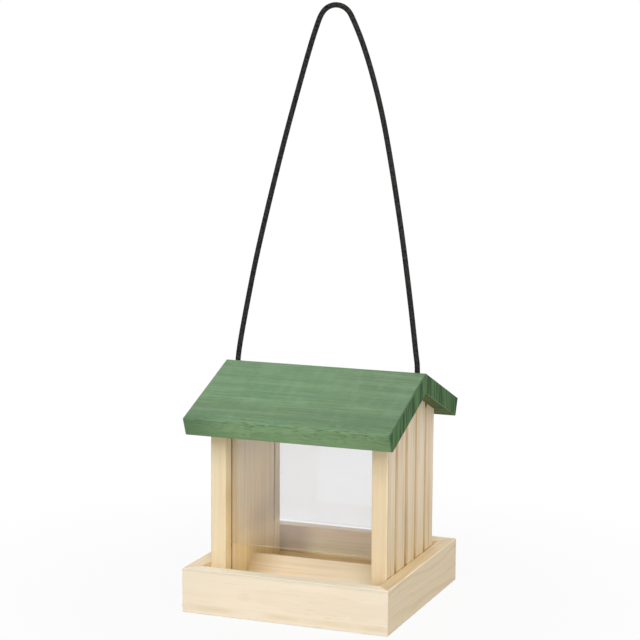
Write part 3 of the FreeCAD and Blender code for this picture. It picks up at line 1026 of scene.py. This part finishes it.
def photo_camera():
    """Camera at the photograph's viewing angle."""
    azimuth = math.radians(CAMERA_AZIMUTH)
    elevation = math.radians(CAMERA_ELEVATION)
    roll = math.radians(CAMERA_ROLL)
    back = Vector((math.sin(azimuth) * math.cos(elevation), -math.cos(azimuth) * math.cos(elevation),
                   math.sin(elevation)))
    level = Vector((math.cos(azimuth), math.sin(azimuth), 0))
    upward = back.cross(level)
    right = level * math.cos(roll) + upward * math.sin(roll)
    up = upward * math.cos(roll) - level * math.sin(roll)
    data = bpy.data.cameras.new("camera")
    data.lens = CAMERA_LENS
    data.sensor_width = CAMERA_SENSOR
    camera = bpy.data.objects.new("camera", data)
    camera.matrix_world = Matrix.Translation(CAMERA_EYE) @ Matrix((right, up, back)).transposed().to_4x4()
    scene.collection.objects.link(camera)
    return camera


def lay_floor():
    """The floor, which shows the object's shadow."""
    shaded_ends = [(-1, -1), (1, -1), (1, 1), (-1, 1)]
    mesh = bpy.data.meshes.new("floor")
    mesh.from_pydata([(x * FLOOR_HALF, y * FLOOR_HALF, FLOOR_Z) for x, y in shaded_ends], [], [(0, 1, 2, 3)])
    mesh.materials.append(white_floor("white_floor"))
    floor = bpy.data.objects.new("floor", mesh)
    scene.collection.objects.link(floor)


def lamp(name, direction, distance, size, level):
    """A square soft lamp: level is how bright it makes a white surface that faces it."""
    data = bpy.data.lights.new(name, "AREA")
    data.size = size
    data.energy = level * math.pi ** 2 * distance ** 2
    thing = bpy.data.objects.new(name, data)
    towards = Vector(direction).normalized()
    thing.location = towards * distance + LAMP_AIM
    thing.rotation_euler = towards.to_track_quat("Z", "Y").to_euler()
    scene.collection.objects.link(thing)


scene.camera = photo_camera()
hang_cord(black_braid("black_cord"))

# Tray
dress(pine("pine_front_rail", ALONG_X, RAIL_TONES, shift=40.0, pith=(-25.0, 17.0), gap=3.0, contrast=0.20,
           wander=9.0, threads=0.16, flecked=0.50, worn_and_lit=0.1, sheen=-0.3, marks=front_rail_marks),
      "tray_rail_front")
dress(pine("pine_back_rail", ALONG_X, BACK_TONES, shift=610.0, pith=(25.0, 30.0), gap=2.9, contrast=0.40,
           wander=9.0, threads=0.4, marks=back_rail_marks), "tray_rail_back")
dress(pine("pine_right_rail", ALONG_Y, SIDE_TONES, shift=275.0, pith=(40.0, -12.0), gap=4.5,
           wander=16.0, worn_and_lit=0.08, marks=side_rail_marks), "tray_rail_right")
dress(pine("pine_left_rail", ALONG_Y, SIDE_TONES, shift=900.0, pith=(-45.0, 45.0), gap=3.8, contrast=0.35,
           wander=14.0, marks=side_rail_marks), "tray_rail_left")
dress(pine("pine_floor", ALONG_X, BACK_TONES, shift=1210.0, pith=(10.0, -60.0), gap=3.4,
           marks=floor_marks), "floor_board")
dress(pine("pine_deflector", ALONG_X, DEFLECTOR_TONES, shift=1530.0, pith=(30.0, 60.0), gap=7.5,
           contrast=0.32, wander=12.0, threads=0.4, flecked=0.6, worn_and_lit=0, marks=deflector_marks),
      "seed_deflector")

# Walls and roof
dress(pine("pine_left_wall", ALONG_Z, LEFT_TONES, shift=330.0, pith=(20.0, 30.0), gap=2.9,
           wander=6.0, threads=0.6, width=3.6, flecked=0.2, marks=left_wall_marks), "gable_wall_left")
dress(pine("pine_right_wall", ALONG_Z, RIGHT_TONES, shift=770.0, pith=(-10.0, 20.0), gap=3.2, contrast=0.24,
           wander=6.0, threads=0.85, width=3.6, flecked=0.2, marks=right_wall_marks), "gable_wall_right")
dress(pine("pine_dowels", ALONG_Y, RAIL_TONES, shift=2010.0, pith=(0.0, 260.0), gap=2.0, worn_and_lit=0),
      "ridge_dowels")
dress(green_stain("green_front_board", side=-1, shift=55.0, pith=(115.0, 140.0), knots=EAVE_KNOTS),
      "roof_board_front")
dress(green_stain("green_back_board", side=1, shift=480.0, pith=(-150.0, 190.0), knots=EAVE_KNOTS[1:4]),
      "roof_board_back")

# Panes and metal
dress(clear_acrylic("clear_acrylic"), "front_pane", "back_pane")
steel = zinc_steel("zinc_steel", BRIGHT_ZINC, DULL_ZINC)
dress(steel, "tray_corner_nails")
dress(zinc_steel("dulled_steel", BROWN_STEEL, DARK_STEEL), "pane_stop_pins")
for side, name in ((-1, "left"), (1, "right")):
    places = [(side * WALL_MIDDLE, -WALL_SCREW_Y), (side * WALL_MIDDLE, WALL_SCREW_Y)]
    screw_piece("floor_screws_" + name, "wall_screws_" + name, places, WALL_SCREW_TOP, steel)
places = [(-DEFLECTOR_SCREW_X, 0.0), (DEFLECTOR_SCREW_X, 0.0)]
screw_piece("floor_screws_middle", "deflector_screws", places, DEFLECTOR_SCREW_TOP, steel)

# Floor and light
lay_floor()
scene.world = pale_room("pale_room")
lamp("front_right_lamp", (0.60, -0.72, 0.34), distance=2.0, size=1.3, level=0.245)
lamp("low_right_lamp", (0.62, -0.76, 0.10), distance=2.0, size=0.7, level=0.16)
lamp("front_lamp", (0.15, -0.76, 0.63), distance=2.2, size=1.4, level=0.61)
lamp("back_left_lamp", (-0.72, 0.66, 0.22), distance=2.0, size=1.4, level=0.42)
lamp("back_lamp", (0.25, 0.93, 0.25), distance=2.0, size=1.4, level=0.36)
scene.view_settings.view_transform = "Standard"
